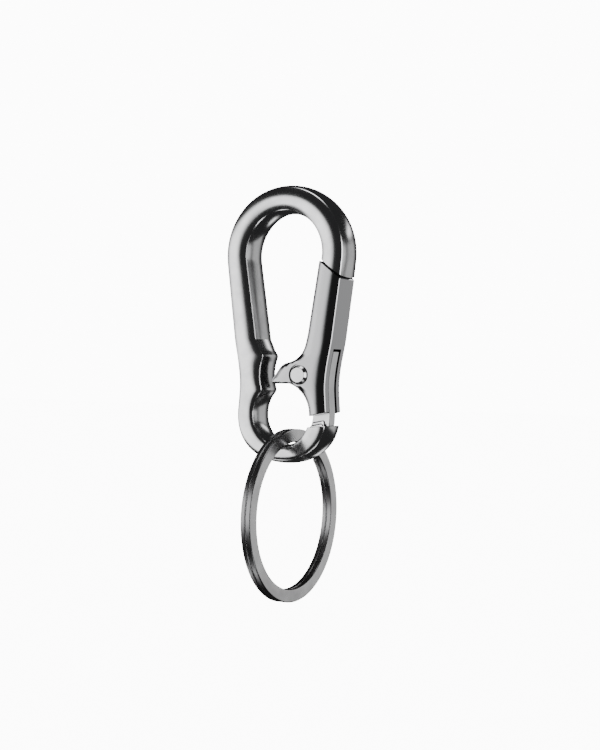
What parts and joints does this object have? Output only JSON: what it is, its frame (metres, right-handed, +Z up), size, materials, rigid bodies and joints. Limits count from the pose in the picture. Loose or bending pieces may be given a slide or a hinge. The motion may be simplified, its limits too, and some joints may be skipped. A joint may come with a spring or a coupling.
{
  "type": "carabiner keyring",
  "caption": "Pear-shaped metal carabiner with an inward-opening sprung gate and a flat-wire split ring hanging in its lower eye.",
  "frame": {"origin": "centre of the round top bow, in the middle of its thickness", "axes": "+Z up along the hook, +X towards the gate, -Y towards the face that shows, +Y along the axis of the bow"},
  "size_m": [0.028, 0.035, 0.0842],
  "materials": {
    "dark_plating": "polished dark nickel plating on a casting",
    "pin_steel": "polished, dark",
    "spring_steel": "drawn spring wire",
    "ring_steel": "satin, dark nickel plating"
  },
  "bodies": {
    "hook": {"hook_frame": "dark_plating", "return_spring": "spring_steel"},
    "gate": {"gate_lever": "dark_plating", "pivot_pin": "pin_steel"},
    "ring": {"split_ring": "ring_steel"}
  },
  "joints": [
    {"name": "gate_pivot", "type": "hinge", "parent": "hook", "child": "gate", "pos_m": [0.00425, 0, -0.02435], "axis": [0, -1, 0], "range_deg": [0, 30], "stiffness_Nm_per_rad": 0.02, "springref_deg": -28.65, "deforming": ["return_spring"]},
    {"name": "ring_swing", "type": "hinge", "parent": "hook", "child": "ring", "pos_m": [0, 0, -0.0323], "axis": [0, -1, 0], "range_deg": [-100, 50]}
  ]
}
